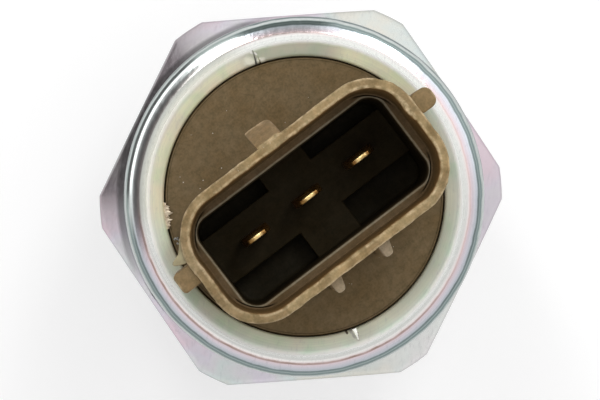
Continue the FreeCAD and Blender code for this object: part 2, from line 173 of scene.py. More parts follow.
STAKE_PAINTED_HIGHLIGHTS = [
    ((2.90, 9.62), (2.95, 10.00), 0.13, 0.12),
    ((2.95, 10.00), (3.13, 10.50), 0.12, 0.04),
]
PATCH_HALF_WIDTH = 0.09
PATCH_SOFT = 0.22
LINE_SOFT = 0.06

# How far the lip's rings of tint and painted reflection lie off the collar's middle
BAND_SHIFT = 0.10

# How finely the meshes are divided
ARC_STEPS = 6
SUPPORT = 0.05
SECTORS = 6
HALF_SECTOR_KNOTS = [2.0 * i for i in range(13)] + [24.8, 25.15, 25.35, 25.55, 25.8, 26.5, 28.2, 30.0]
COLUMNS = 2 * SECTORS * (len(HALF_SECTOR_KNOTS) - 1)
FIRST_COLUMN = -22
SHARP_ANGLE = 33.0


def polar(radius, degrees, height):
    """A point at a radius and an angle about Z."""
    angle = math.radians(degrees)
    return Vector((radius * math.cos(angle), radius * math.sin(angle), height))


def blend(a, b, share):
    """The value that lies a share of the way from a to b."""
    return a + (b - a) * share


def softened(corners):
    """Rows through open corners (a, b) or (a, b, radius), with arcs and supports at the rounded ones."""
    rows = []
    for i, corner in enumerate(corners):
        here = Vector(corner[:2])
        radius = corner[2] if len(corner) > 2 else 0
        if radius == 0:
            rows.append(here)
            continue
        to_before = (Vector(corners[i - 1][:2]) - here).normalized()
        to_after = (Vector(corners[i + 1][:2]) - here).normalized()
        half = to_before.angle(to_after) / 2
        tangent = radius / math.tan(half)
        middle = here + (to_before + to_after).normalized() * (radius / math.sin(half))
        start = here + to_before * tangent
        end = here + to_after * tangent
        rows.append(start + to_before * SUPPORT)
        for step in range(ARC_STEPS + 1):
            share = step / ARC_STEPS
            chord = blend(start, end, share) - middle
            rows.append(middle + chord.normalized() * radius)
        rows.append(end + to_after * SUPPORT)
    return rows


def new_object(name, mesh):
    """An object with this mesh, in the scene."""
    thing = bpy.data.objects.new(name, mesh)
    bpy.context.scene.collection.objects.link(thing)
    return thing


def skin(name, rings, capped=True):
    """An object skinned over rings of equally many points, with a fan over each end if capped."""
    count = len(rings[0])
    points = [Vector(point) * MM for ring in rings for point in ring]
    faces = []
    for row in range(len(rings) - 1):
        low = row * count
        for i in range(count):
            j = (i + 1) % count
            faces.append((low + i, low + j, low + count + j, low + count + i))
    if capped:
        for row in (0, len(rings) - 1):
            low = row * count
            middle = sum((Vector(point) for point in rings[row]), Vector()) / count
            points.append(middle * MM)
            faces += [(low + i, low + (i + 1) % count, len(points) - 1) for i in range(count)]
    mesh = bpy.data.meshes.new(name)
    mesh.from_pydata(points, [], faces)
    return new_object(name, mesh)


def frozen(thing):
    """The object with its modifiers applied to its mesh."""
    bpy.context.view_layer.update()
    evaluated = thing.evaluated_get(bpy.context.evaluated_depsgraph_get())
    mesh = bpy.data.meshes.new_from_object(evaluated)
    thing.modifiers.clear()
    thing.data = mesh
    return thing


def tidied(thing):
    """The object with its doubles merged and its faces turned outwards."""
    work = bmesh.new()
    work.from_mesh(thing.data)
    bmesh.ops.remove_doubles(work, verts=work.verts, dist=MICRON / 2)
    bmesh.ops.dissolve_degenerate(work, edges=work.edges, dist=MICRON / 10)
    bmesh.ops.recalc_face_normals(work, faces=work.faces)
    work.to_mesh(thing.data)
    work.free()
    return thing


def shaded(thing, sharp=SHARP_ANGLE):
    """The object shaded smoothly, except over its sharp edges."""
    thing.data.shade_smooth()
    thing.data.set_sharp_from_angle(angle=math.radians(sharp))
    return thing


def combined(base, operation, tools):
    """The base joined with, or cut by, each closed tool in turn."""
    for tool in tools:
        tidied(tool)
        step = base.modifiers.new("combine", "BOOLEAN")
        step.operation = operation
        step.solver = "EXACT"
        step.object = tool
    frozen(base)
    for tool in tools:
        bpy.data.objects.remove(tool)
    return base


def joined(base, others):
    """One object from several meshes."""
    with bpy.context.temp_override(active_object=base, selected_editable_objects=[base] + others):
        bpy.ops.object.join()
    return base


# Housing

def hex_columns():
    """The angle of each column and the hexagon's radius there, starting at a corner."""
    columns = []
    for sector in range(SECTORS):
        facing = HEX_TURN + 60 * sector
        for side in [-k for k in reversed(HALF_SECTOR_KNOTS)] + HALF_SECTOR_KNOTS[1:-1]:
            flat = HEX_FLAT / math.cos(math.radians(side))
            columns.append((facing + side, min(flat, HEX_CORNER)))
    return columns


def fixed(radius, height):
    """A row of the housing that is round."""
    return lambda hex_radius: (radius, height)


def hex_row(inset, rise, top):
    """A row of the hexagon, inset from its side and raised from its top or bottom edge."""
    def place(hex_radius):
        radius = hex_radius - inset
        if top:
            return radius, HEX_HIGH - (radius - COLLAR_RADIUS) * HEX_SLOPE + rise
        return radius, WASHER_TOP + (radius - WASHER_RADIUS) * HEX_SLOPE + rise
    return place


def housing_rows():
    """The housing's rows from its washer face up over the lip, and down the bore to the nose."""
    edge = 0.16
    rows = [fixed(*row) for row in softened([
        (RELIEF_RADIUS + 0.6, HEX_LOW), (WASHER_RADIUS, HEX_LOW, 0.1), (WASHER_RADIUS, WASHER_TOP)])]
    rows += [hex_row(blend(HEX_FLAT - WASHER_RADIUS, edge, share), 0, False) for share in (0.5, 1)]
    rows += [hex_row(0.3 * edge, 0.12 * edge, False), hex_row(0, 0.55 * edge, False), hex_row(0, edge, False)]
    rows += [hex_row(0, -share * (HEX_HIGH - WASHER_TOP - 2), True) for share in (0.66, 0.33)]
    rows += [hex_row(0, -edge, True), hex_row(0, -0.55 * edge, True), hex_row(0.3 * edge, -0.12 * edge, True)]
    rows += [hex_row(blend(edge, HEX_FLAT - COLLAR_RADIUS, share), 0, True) for share in (0, 0.5)]
    rows += [fixed(*row) for row in softened([
        (COLLAR_RADIUS + 0.3, HEX_HIGH - 0.3 * HEX_SLOPE),
        (COLLAR_RADIUS, HEX_HIGH, 0.12),
        (COLLAR_RADIUS, 33.0),
        (COLLAR_RADIUS, 36.0),
        (COLLAR_RADIUS, 39.55, 0.5),
        (LIP_SHOULDER, LIP_SHOULDER_TOP, 1.2),
        (LIP_CREST, LIP_TOP, 1.8),
        (LIP_RIDGE, LIP_TOP, 0.8),
        (LIP_OPENING, LIP_EDGE, 0.25),
        (LIP_OPENING, LIP_UNDER),
        (BORE_RADIUS, LIP_UNDER),
        (BORE_RADIUS, SEAT_HEIGHT),
        (CHAMBER_RADIUS, SEAT_HEIGHT),
        (CHAMBER_RADIUS, CHAMBER_FLOOR),
        (CLAMP_BORE_RADIUS, CHAMBER_FLOOR),
        (CLAMP_BORE_RADIUS, CLAMP_BORE_LOW),
        (STEM_POCKET_RADIUS, CLAMP_BORE_LOW),
        (STEM_POCKET_RADIUS, STEM_POCKET_LOW),
        (PORT_RADIUS, PORT_TOP),
        (PORT_RADIUS, PORT_EDGE),
        (PORT_RADIUS + PORT_EDGE, 0.0),
    ])]
    return rows


def housing():
    """The plated steel body, with its helical thread, its hexagon and its crimped lip."""
    columns = hex_columns()
    rings = []
    for row in housing_rows():
        places = [(row(hex_radius), angle) for angle, hex_radius in columns]
        rings.append([polar(radius, angle, height) for (radius, height), angle in places])
    even = [360 / COLUMNS * (FIRST_COLUMN + i) for i in range(COLUMNS)]
    nose = softened([(2.5, 0), (NOSE_RADIUS - NOSE_EDGE, 0, 0.2), (NOSE_RADIUS, NOSE_EDGE, 0.2),
                     (NOSE_RADIUS, THREAD_LOW, 0.4), (THREAD_ROOT, THREAD_LOW)])
    rings += [[polar(radius, angle, height) for angle in even] for radius, height in nose]
    relief = softened([(THREAD_ROOT, THREAD_HIGH), (RELIEF_RADIUS, RELIEF_LOW, 0.3),
                       (RELIEF_RADIUS, HEX_LOW, 0.4), (RELIEF_RADIUS + 0.55, HEX_LOW)])
    top = [[polar(radius, angle, height) for angle in even] for radius, height in relief]
    body = skin("housing_body", top + rings, capped=False)
    joined(body, [thread()])
    tidied(body)
    facet = [[Vector(corner) + Vector((0, 0, rise)) for corner in STAKE_FACET] for rise in (0, 0.6)]
    combined(body, "DIFFERENCE", [stake_tool(*cut) for cut in STAKE_CUTS] + [skin("stake_facet", facet)])
    return shaded(body)


def stake_tool(bore, tip, half, depth):
    """The V-shaped groove of a staking punch in the lip, deepest at the bore and rising to its tip."""
    start, end = Vector(bore), Vector(tip)
    across = Vector((start.y - end.y, end.x - start.x)).normalized()
    clearance = 0.3
    rings = []
    for share in (-0.35, 1.0):
        spot = blend(start, end, share)
        slope = (LIP_TOP - LIP_EDGE) / (LIP_RIDGE - LIP_OPENING)
        surface = min(LIP_TOP, LIP_EDGE + (spot.length - LIP_OPENING) * slope)
        low = surface - depth * (1 - share)
        wide = across * half * (depth + clearance) / depth
        rings.append([Vector((*spot, low)), Vector((*(spot + wide), low + depth + clearance)),
                      Vector((*(spot - wide), low + depth + clearance))])
    return skin("stake_mark", rings)


def new_tree(name, sizes, takes_mesh):
    """A tree of geometry nodes with a named input for each size, and for a mesh if it takes one."""
    tree = bpy.data.node_groups.new(name, "GeometryNodeTree")
    if takes_mesh:
        tree.interface.new_socket(name="Geometry", in_out="INPUT", socket_type="NodeSocketGeometry")
    for label, value in sizes.items():
        kind = "NodeSocketInt" if isinstance(value, int) else "NodeSocketFloat"
        tree.interface.new_socket(name=label, in_out="INPUT", socket_type=kind)
    tree.interface.new_socket(name="Geometry", in_out="OUTPUT", socket_type="NodeSocketGeometry")
    return tree


def grown(thing, tree, sizes):
    """The object with the tree run on its mesh, with these sizes."""
    grower = thing.modifiers.new(tree.name, "NODES")
    grower.node_group = tree
    for item in tree.interface.items_tree:
        if item.in_out == "INPUT" and item.name in sizes:
            grower[item.identifier] = sizes[item.name]
    return frozen(thing)


def thread():
    """The external thread, swept along its helix by a tree of geometry nodes."""
    sizes = {
        "Columns": COLUMNS, "Rows": 120, "Rows per turn": 12.0,
        "Pitch": THREAD_PITCH * MM, "Bottom": THREAD_LOW * MM, "Top": THREAD_HIGH * MM,
        "Root": THREAD_ROOT * MM, "Crest": THREAD_CREST * MM,
    }
    tree = new_tree("thread", sizes, False)
    wires = Tree(tree)
    size = wires.inputs()
    grid = wires.node("GeometryNodeMeshGrid", {}, {
        "Size X": 1.0, "Size Y": 1.0,
        "Vertices X": size["Columns"] + 1, "Vertices Y": size["Rows"] + 1}, "Mesh")
    x, y, z = wires.split(wires.node("GeometryNodeInputPosition", {}, {}, "Position"))
    turn = x + 0.5
    row = (y + 0.5) * size["Rows"] / size["Rows per turn"]
    height = size["Bottom"] + (row + turn - 1.0) * size["Pitch"]
    clamped = wires.math("MINIMUM", wires.math("MAXIMUM", height, size["Bottom"]), size["Top"])
    wave = abs(wires.math("FRACT", row) - 0.5) * 2.0
    flank = wires.map(wave, 5 / 6, 1 / 6, size["Root"], size["Crest"])
    lead = size["Root"] + (clamped - size["Bottom"])
    runout = size["Root"] + (size["Top"] - clamped)
    radius = wires.math("MINIMUM", flank, wires.math("MINIMUM", lead, runout))
    angle = turn * (2 * math.pi)
    spot = wires.vector(radius * wires.math("COSINE", angle), radius * wires.math("SINE", angle), clamped)
    placed = wires.node("GeometryNodeSetPosition", {}, {"Geometry": grid, "Position": spot}, "Geometry")
    merged = wires.node("GeometryNodeMergeByDistance", {}, {
        "Geometry": placed, "Distance": MICRON / 2}, "Geometry")
    wires.finish(merged, STEEL)
    return grown(new_object("thread", bpy.data.meshes.new("thread")), tree, sizes)


# Nodes, written as expressions

class Wire:
    """A socket in a node tree. Arithmetic on it adds Math nodes."""

    def __init__(self, tree, socket):
        self.tree = tree
        self.socket = socket

    def __add__(self, other):
        return self.tree.math("ADD", self, other)

    def __radd__(self, other):
        return self.tree.math("ADD", other, self)

    def __sub__(self, other):
        return self.tree.math("SUBTRACT", self, other)

    def __rsub__(self, other):
        return self.tree.math("SUBTRACT", other, self)

    def __mul__(self, other):
        return self.tree.math("MULTIPLY", self, other)

    def __rmul__(self, other):
        return self.tree.math("MULTIPLY", other, self)

    def __truediv__(self, other):
        return self.tree.math("DIVIDE", self, other)

    def __pow__(self, other):
        return self.tree.math("POWER", self, other)

    def __abs__(self):
        return self.tree.math("ABSOLUTE", self)


class Tree:
    """A node tree under construction."""

    def __init__(self, tree):
        self.tree = tree

    def node(self, kind, settings, values, output=0):
        """One node, by its settings and its sockets' values or links. Gives the wire from an output."""
        made = self.tree.nodes.new(kind)
        for name, value in settings.items():
            if name == "stops":
                ramp = made.color_ramp
                while len(ramp.elements) < len(value):
                    ramp.elements.new(1.0)
                for element, (place, colour) in zip(ramp.elements, value):
                    element.position = place
                    element.color = (*colour, 1.0)
            else:
                setattr(made, name, value)
        for name, value in values.items():
            if isinstance(value, Wire):
                self.tree.links.new(value.socket, made.inputs[name])
            else:
                made.inputs[name].default_value = value
        return Wire(self, made.outputs[output]) if made.outputs else None

    def inputs(self):
        """The wires from the tree's named inputs."""
        made = self.tree.nodes.new("NodeGroupInput")
        return {socket.name: Wire(self, socket) for socket in made.outputs if socket.name}

    def finish(self, geometry, material):
        """Realizes the geometry's instances, gives it the material and links it to the tree's output."""
        plain = self.node("GeometryNodeRealizeInstances", {}, {"Geometry": geometry}, "Geometry")
        dressed = self.node("GeometryNodeSetMaterial", {}, {"Geometry": plain, "Material": material},
                            "Geometry")
        made = self.tree.nodes.new("NodeGroupOutput")
        self.tree.links.new(dressed.socket, made.inputs[0])

    def math(self, operation, first, second=0.0):
        return self.node("ShaderNodeMath", {"operation": operation}, {0: first, 1: second})

    def map(self, value, low, high, start=0.0, end=1.0, curve="LINEAR"):
        """The value carried from low..high to start..end, and held there."""
        return self.node("ShaderNodeMapRange", {"interpolation_type": curve, "clamp": True}, {
            "Value": value, "From Min": low, "From Max": high, "To Min": start, "To Max": end})

    def ease(self, value, low, high, start=0.0, end=1.0):
        """The same, along a smooth curve."""
        return self.map(value, low, high, start, end, "SMOOTHSTEP")

    def hypot(self, x, y):
        """The length of the flat vector (x, y)."""
        return (x * x + y * y) ** 0.5

    def split(self, vector):
        return [self.node("ShaderNodeSeparateXYZ", {}, {0: vector}, i) for i in range(3)]

    def vector(self, x, y, z):
        return self.node("ShaderNodeCombineXYZ", {}, {0: x, 1: y, 2: z})

    def mix(self, share, first, second, how="MIX"):
        """A colour between two colours."""
        ends = [c if isinstance(c, Wire) else (*c, 1.0) for c in (first, second)]
        return self.node("ShaderNodeMix", {"data_type": "RGBA", "blend_type": how},
                         {0: share, 6: ends[0], 7: ends[1]}, 2)

    def ramp(self, value, stops):
        """A colour ramp over the value."""
        return self.node("ShaderNodeValToRGB", {"stops": stops}, {0: value}, "Color")

    def noise(self, place, scale, detail=2.0, roughness=0.5):
        """Noise over a place in millimetres, with features about 1 / scale wide."""
        return self.node("ShaderNodeTexNoise", {}, {
            "Vector": place, "Scale": scale, "Detail": detail, "Roughness": roughness}, 0)


class Finish(Tree):
    """A material under construction, with its place on the object in millimetres."""

    def __init__(self, name):
        self.material = bpy.data.materials.new(name)
        self.material.use_nodes = True
        super().__init__(self.material.node_tree)
        self.tree.nodes.clear()
        metres = self.node("ShaderNodeTexCoord", {}, {}, "Object")
        self.place = self.node("ShaderNodeVectorMath", {"operation": "SCALE"}, {0: metres, "Scale": 1000.0})
        self.x, self.y, self.z = self.split(self.place)
        self.radius = self.hypot(self.x, self.y)
        self.angle = self.math("ARCTAN2", self.y, self.x)

    def facing(self, degrees):
        """How nearly a place lies at an angle about Z, as a cosine."""
        return self.math("COSINE", self.angle - math.radians(degrees))

    def stroke(self, start, end, first, last, soft=LINE_SOFT):
        """One inside a line seen from above, whose half width runs from first to last."""
        way = Vector(end) - Vector(start)
        length = way.length
        way = way / length
        off_x = self.x - start[0]
        off_y = self.y - start[1]
        along = self.math("MINIMUM", self.math("MAXIMUM", off_x * way.x + off_y * way.y, 0.0), length)
        across_x = off_x - along * way.x
        across_y = off_y - along * way.y
        width = along * ((last - first) / length) + first
        ragged = (self.noise(self.place, 4.0, 2.0) - 0.5) * min(0.25, 2.0 * max(first, last))
        return self.map(self.hypot(across_x, across_y) - width + ragged, soft * 0.6, -soft * 0.4)

    def bump(self, height, strength, distance=0.05):
        """The normal that a height in millimetres gives."""
        return self.node("ShaderNodeBump", {}, {
            "Height": height, "Strength": strength, "Distance": distance * MM}, "Normal")

    def done(self, **values):
        """Links the shader and gives the material."""
        named = {name.replace("_", " "): value for name, value in values.items()}
        shader = self.node("ShaderNodeBsdfPrincipled", {}, named, "BSDF")
        self.node("ShaderNodeOutputMaterial", {}, {"Surface": shader})
        return self.material


def plated_steel():
    """Zinc-plated steel: pale, with the pink, blue, green and yellow tints of clear passivation, and with
    painted reflections, highlights and shade in rings and on some sides.
    """
    f = Finish("plated_steel")
    cloud = f.noise(f.place, 0.13, 2.0)
    fine = f.noise(f.place, 0.7, 3.0)
    sheen = f.ramp(cloud * 0.8 + fine * 0.2, [
        (0.36, (0.72, 0.59, 0.65)), (0.44, (0.68, 0.64, 0.71)), (0.50, (0.68, 0.67, 0.69)),
        (0.56, (0.63, 0.69, 0.68)), (0.66, (0.70, 0.69, 0.63))])
    off_x = f.x - 0.605 * BAND_SHIFT
    off_y = f.y - 0.797 * BAND_SHIFT
    wander = f.noise(f.place, 0.8, 3.0) - 0.5
    reach = f.map(f.hypot(off_x, off_y) + wander * 0.16, 9.9, COLLAR_RADIUS)
    # Rings over the lip by radius: pink and lilac tint lines, with painted highlights at the ridge and crest
    # and painted dark reflection bands on the shoulder.
    tint_and_reflection_bands = f.ramp(reach, [
        (0.05, (0.85, 0.87, 0.70)), (0.25, (0.88, 0.93, 0.79)), (0.36, (0.90, 0.96, 0.89)),
        (0.40, (0.97, 0.98, 0.94)), (0.44, (0.96, 0.96, 0.93)), (0.48, (0.90, 0.92, 0.88)),
        (0.58, (0.92, 0.91, 0.88)), (0.61, (0.92, 0.84, 0.82)), (0.645, (0.82, 0.64, 0.62)),
        (0.68, (0.92, 0.78, 0.82)), (0.76, (0.84, 0.83, 0.90)), (0.81, (0.78, 0.83, 0.90)),
        (0.835, (0.24, 0.30, 0.30)), (0.86, (0.20, 0.26, 0.26)), (0.875, (0.36, 0.42, 0.41)),
        (0.895, (0.20, 0.26, 0.26)), (0.92, (0.24, 0.30, 0.29)), (0.945, (0.62, 0.67, 0.65)),
        (0.98, (0.72, 0.76, 0.75)), (1.0, (0.22, 0.27, 0.27))])
    # The same rings as a lit copy: brighter painted highlights of the lamps over the slope and shoulder.
    lit_tint_and_reflection_bands = f.ramp(reach, [
        (0.05, (1.0, 0.91, 0.68)), (0.30, (1.0, 0.98, 0.76)), (0.37, (0.94, 0.93, 0.80)),
        (0.40, (1.0, 0.99, 0.93)), (0.44, (0.98, 0.97, 0.88)), (0.48, (0.78, 0.78, 0.68)),
        (0.60, (0.58, 0.59, 0.54)), (0.65, (0.50, 0.48, 0.45)), (0.69, (0.31, 0.30, 0.29)),
        (0.74, (0.32, 0.34, 0.33)), (0.79, (0.86, 0.93, 0.91)), (0.86, (0.90, 0.95, 0.93)),
        (0.90, (0.34, 0.40, 0.38)), (0.94, (0.34, 0.40, 0.38)), (0.97, (0.75, 0.80, 0.78)),
        (1.0, (0.32, 0.36, 0.35))])
    towards = f.facing(-65)
    # Painted dark reflection on the steel on the side near -65 degrees.
    sheen = f.mix(f.ease(towards, 0.74, 0.92, 0.0, 0.75), sheen, (0.40, 0.37, 0.375))
    # Painted shade on the steel on the side near 145 degrees.
    side_shade = f.ease(f.facing(145), 0.80, 0.97, 0.0, 0.35)
    sheen = f.mix(side_shade, sheen, (0.56, 0.49, 0.53))
    # Painted light on the steel on the side near 103 degrees.
    pale = f.ease(f.facing(103), 0.86, 0.96, 0.0, 0.6)
    sheen = f.mix(pale, sheen, (0.80, 0.79, 0.76))
    sheen = f.mix(f.map(f.z, HEX_LOW + 1, HEX_LOW - 1, 0.0, 0.5), sheen, (0.69, 0.69, 0.68))
    # Painted contact shadow on the hexagon around the collar's foot, on the side near -65 degrees.
    foot = f.map(f.radius, COLLAR_RADIUS + 0.85, COLLAR_RADIUS + 0.6) * f.map(towards, 0.55, 0.80)
    sheen = f.mix(foot * 0.7, sheen, (0.09, 0.09, 0.09))
    # Painted shade along the crease where the collar meets the hexagon.
    join = f.map(f.radius, COLLAR_RADIUS + 0.32, COLLAR_RADIUS + 0.22) * f.map(f.z, 32.4, 31.2)
    join = join * f.map(f.z, HEX_HIGH - 0.6, HEX_HIGH - 0.4)
    sheen = f.mix(join * 0.45, sheen, (0.20, 0.24, 0.24))
    # The painted lit copy of the rings on the side near -65 degrees, the plain rings elsewhere.
    band = f.mix(f.ease(towards, 0.72, 0.88), tint_and_reflection_bands, lit_tint_and_reflection_bands)
    # Painted light: the lip's inner slope is bright pale yellow on the side near -155 degrees.
    right = f.facing(-155)
    yellow = f.ease(right, 0.90, 0.97) * f.map(reach, 0.42, 0.36)
    band = f.mix(yellow, band, (1.0, 0.99, 0.74))
    # Painted shade on the lip's inner slope on the side near -122 degrees.
    top_slope_shade = f.map(f.facing(-122), 0.93, 0.97) * f.map(reach, 0.42, 0.36)
    band = f.mix(top_slope_shade, band, (0.66, 0.65, 0.54))
    tint = f.ramp(f.noise(f.place, 0.55, 2.0), [
        (0.34, (0.74, 0.92, 0.72)), (0.47, (0.92, 0.96, 0.86)), (0.62, (1.0, 0.92, 0.86))])
    band = f.mix(f.map(reach, 0.46, 0.38, 0.0, 0.55), band, tint, "MULTIPLY")
    stain = f.map(f.noise(f.place, 0.32, 3.0), 0.50, 0.68, 0.0, 0.30) * f.map(reach, 0.42, 0.30)
    band = f.mix(stain, band, (0.55, 0.60, 0.50))
    # Painted shade low on the lip's inner slope, on the side near 113 degrees.
    low_slope_shade = f.map(f.facing(113), 0.86, 0.97) * f.map(reach, 0.33, 0.12, 0.0, 0.5)
    band = f.mix(low_slope_shade, band, (0.50, 0.55, 0.46))
    below = f.ease(f.facing(40), 0.1, 0.75)
    line = f.ease(abs(reach - 0.652), 0.036, 0.010)
    band = f.mix(below * line * f.map(wander, -0.15, 0.12, 0.45, 0.9), band, (0.36, 0.235, 0.18))
    turning = f.noise(f.vector(f.radius * 11.0, f.angle * 1.2, f.z * 11.0), 1.0, 2.0)
    band = f.mix(f.map(turning, 0.35, 0.65, 0.0, 0.14), band, (0.42, 0.44, 0.44))
    # Painted highlights and painted shade in and beside the staking marks.
    for start, end, first, last, tone in STAKE_TONES:
        is_patch = tone[0] == 1.0 and first > PATCH_HALF_WIDTH
        soft = PATCH_SOFT if is_patch else LINE_SOFT
        band = f.mix(f.stroke(start, end, first, last, soft), band, tone)
    # Painted highlights where the staking marks' facets are painted bright.
    painted_glint = 0.0
    for start, end, first, last in STAKE_PAINTED_HIGHLIGHTS:
        painted_glint = f.math("MAXIMUM", f.stroke(start, end, first, last), painted_glint)
    band = f.mix(painted_glint, band, (1.0, 1.0, 0.93))
    lip = f.ease(f.z, 38.4, 38.9)
    colour = f.mix(lip, sheen, band)
    slope = f.ease(reach, 0.50, 0.43) * lip * (1.0 - painted_glint)
    scuffs = f.noise(f.vector(f.x * 0.6 + f.y * 0.6, f.y * 1.6 - f.x * 1.6, f.z), 2.2, 3.0, 0.6)
    colour = f.mix(f.map(scuffs, 0.55, 0.75, 0.0, 0.22), colour, (0.40, 0.39, 0.42))
    rough = f.map(scuffs, 0.35, 0.7, 0.15, 0.24) - lip * 0.06 + slope * 0.3
    relief = turning * lip * 0.6 + f.noise(f.place, 0.9, 2.0) * 0.8
    return f.done(Base_Color=colour, Metallic=f.map(slope, 0, 1, 0.92, 0.25), Roughness=rough,
                  Normal=f.bump(relief, 0.3, 0.012))


def brown_plastic():
    """Glass-filled moulding: olive brown low down and paler towards the rim, partly its own tone and partly
    painted shade; its edges paler from wear and painted highlights, and its socket dark with painted shade.
    """
    f = Finish("brown_plastic")
    mottle = f.noise(f.place, 0.45, 4.0, 0.6)
    marble = f.noise(f.place, 1.9, 4.0, 0.62)
    grain = f.noise(f.place, 6.0, 3.0, 0.6)
    patch = f.noise(f.place, 0.8, 2.0)
    # Paler with height: partly the moulding's own tone, partly painted shade low down by the disc.
    outside = f.ramp(f.map(f.z, 39.0, 56.0), [
        (0.03, (0.176, 0.129, 0.073)), (0.50, (0.178, 0.126, 0.066)), (0.76, (0.218, 0.149, 0.079)),
        (0.94, (0.248, 0.170, 0.088)), (0.955, (0.25, 0.178, 0.094)), (1.0, (0.265, 0.190, 0.102))])
    back = f.map(f.y, SHROUD_OFFSET + SHROUD_HALF_WIDTH, SHROUD_OFFSET + SHROUD_HALF_WIDTH + 0.1)
    outside = f.mix(back * f.map(f.z, 50.0, 53.5), outside, (0.38, 0.310, 0.225))
    over_x = f.math("MAXIMUM", abs(f.x) - (SHROUD_HALF_LENGTH - SHROUD_CORNER), 0.0)
    from_middle = abs(f.y - SHROUD_OFFSET)
    over_y = f.math("MAXIMUM", from_middle - (SHROUD_HALF_WIDTH - SHROUD_CORNER), 0.0)
    depth = SHROUD_CORNER - f.hypot(over_x, over_y)
    rim = f.map(f.z, 55.15, 55.3)
    outside = f.mix(rim * f.map(patch, 0.42, 0.60, 0.1, 0.75), outside, (0.41, 0.310, 0.178))
    # Pale rim edges: partly wear and partly painted highlights on the edge rounding.
    edge = f.map(depth, 0.16, 0.05) + f.map(depth, 0.42, 0.52)
    outside = f.mix(rim * edge * f.map(marble, 0.42, 0.62, 0.1, 0.8), outside, (0.55, 0.44, 0.29))
    # Pale key ends: partly wear and partly painted highlight.
    key_end = f.map(abs(f.x), SHROUD_HALF_LENGTH + KEY_REACH - 0.16,
                    SHROUD_HALF_LENGTH + KEY_REACH - 0.04) * f.map(f.z, 54.9, 55.05)
    outside = f.mix(key_end * f.map(marble, 0.42, 0.60, 0.1, 0.7), outside, (0.52, 0.42, 0.28))
    # Pale latch edge: partly wear and partly painted highlight.
    latch_edge = f.map(f.y, SHROUD_OFFSET - SHROUD_HALF_WIDTH - 1.15, SHROUD_OFFSET - SHROUD_HALF_WIDTH - 1.4)
    outside = f.mix(latch_edge * f.map(marble, 0.36, 0.60, 0.1, 0.7) * f.map(f.z, 51.0, 51.8), outside,
                    (0.50, 0.38, 0.25))
    # The socket below the rim is painted dark, as painted shade deepening towards its floor, with a painted
    # highlight along the ledge's bevel.
    within = f.map(depth, 0.35, 0.5) * f.map(f.z, 55.47, 55.38)
    inside = f.ramp(f.map(f.z, 40.0, 56.0), [
        (0.0, (0.034, 0.028, 0.017)), (0.10, (0.034, 0.028, 0.017)), (0.156, (0.040, 0.030, 0.0150)),
        (0.60, (0.026, 0.018, 0.009)), (0.645, (0.036, 0.025, 0.013)), (0.6480, (0.31, 0.265, 0.195)),
        (0.6545, (0.31, 0.265, 0.195)), (0.6560, (0.150, 0.102, 0.056)), (0.6575, (0.150, 0.102, 0.056)),
        (0.670, (0.140, 0.090, 0.042)), (0.80, (0.148, 0.090, 0.037)), (0.94, (0.170, 0.098, 0.039)),
        (1.0, (0.22, 0.130, 0.052))])
    colour = f.mix(within, outside, inside)
    # Painted shade over the top of the shroud's +x end.
    turned = f.ease(f.x, 5.0, 9.0, 0.0, 0.30) * f.map(f.z, 53.0, 55.0)
    colour = f.mix(turned, colour, (0.17, 0.128, 0.080))
    colour = f.mix(f.map(mottle, 0.32, 0.68, 0.0, 0.4), colour, (0.34, 0.27, 0.15), "SOFT_LIGHT")
    darker = f.mix(1.0, colour, (0.80, 0.83, 0.78), "MULTIPLY")
    lighter = f.mix(1.0, colour, (1.20, 1.17, 1.14), "MULTIPLY")
    colour = f.mix(f.map(marble * 0.55 + grain * 0.45, 0.38, 0.62), darker, lighter)
    rough = f.map(mottle, 0.3, 0.7, 0.5, 0.65)
    return f.done(Base_Color=colour, Roughness=rough, Specular_IOR_Level=0.06,
                  Normal=f.bump(grain + marble * 0.8, 0.35, 0.03))


def gold_tip():
    """Gold-flashed terminals: bright on the coined crest, with painted shade making them browner towards its
    ends and dark down in the socket.
    """
    f = Finish("terminal_plating")
    # Painted shade: dark low down in the socket, rising to the gold of the crest.
    rise = f.ramp(f.map(f.z, 46.5, 49.0), [
        (0.0, (0.030, 0.020, 0.010)), (0.45, (0.055, 0.033, 0.013)), (0.62, (0.30, 0.150, 0.035)),
        (0.85, (0.62, 0.360, 0.095)), (1.0, (0.95, 0.700, 0.310))])
    along = f.math("PINGPONG", f.x, TERMINAL_PITCH / 2)
    worn = f.noise(f.place, 2.6, 3.0)
    # Painted shade towards each end of the crest.
    colour = f.mix(f.map(along + worn * 0.5, 0.42, 0.78), rise, (0.22, 0.100, 0.022))
    colour = f.mix(f.map(worn, 0.50, 0.60, 0.0, 0.6), colour, (0.34, 0.200, 0.060))
    return f.done(Base_Color=colour, Metallic=0.8, Roughness=f.map(worn, 0.3, 0.7, 0.20, 0.34),
                  Normal=f.bump(worn, 0.6, 0.05))


def plain_finish(name, colour, second, metallic, low, high, scale, strength=0.2):
    """A finish that wanders between two colours, with its roughness and a fine relief."""
    f = Finish(name)
    patches = f.noise(f.place, scale, 3.0)
    fine = f.noise(f.place, scale * 8, 3.0)
    return f.done(Base_Color=f.mix(f.map(patches, 0.3, 0.7), colour, second), Metallic=metallic,
                  Roughness=f.map(fine, 0.3, 0.7, low, high), Normal=f.bump(fine, strength, 0.02))


# Plug body

SIDE_STEPS = 84
END_STEPS = 36
CORNER_STEPS = 20


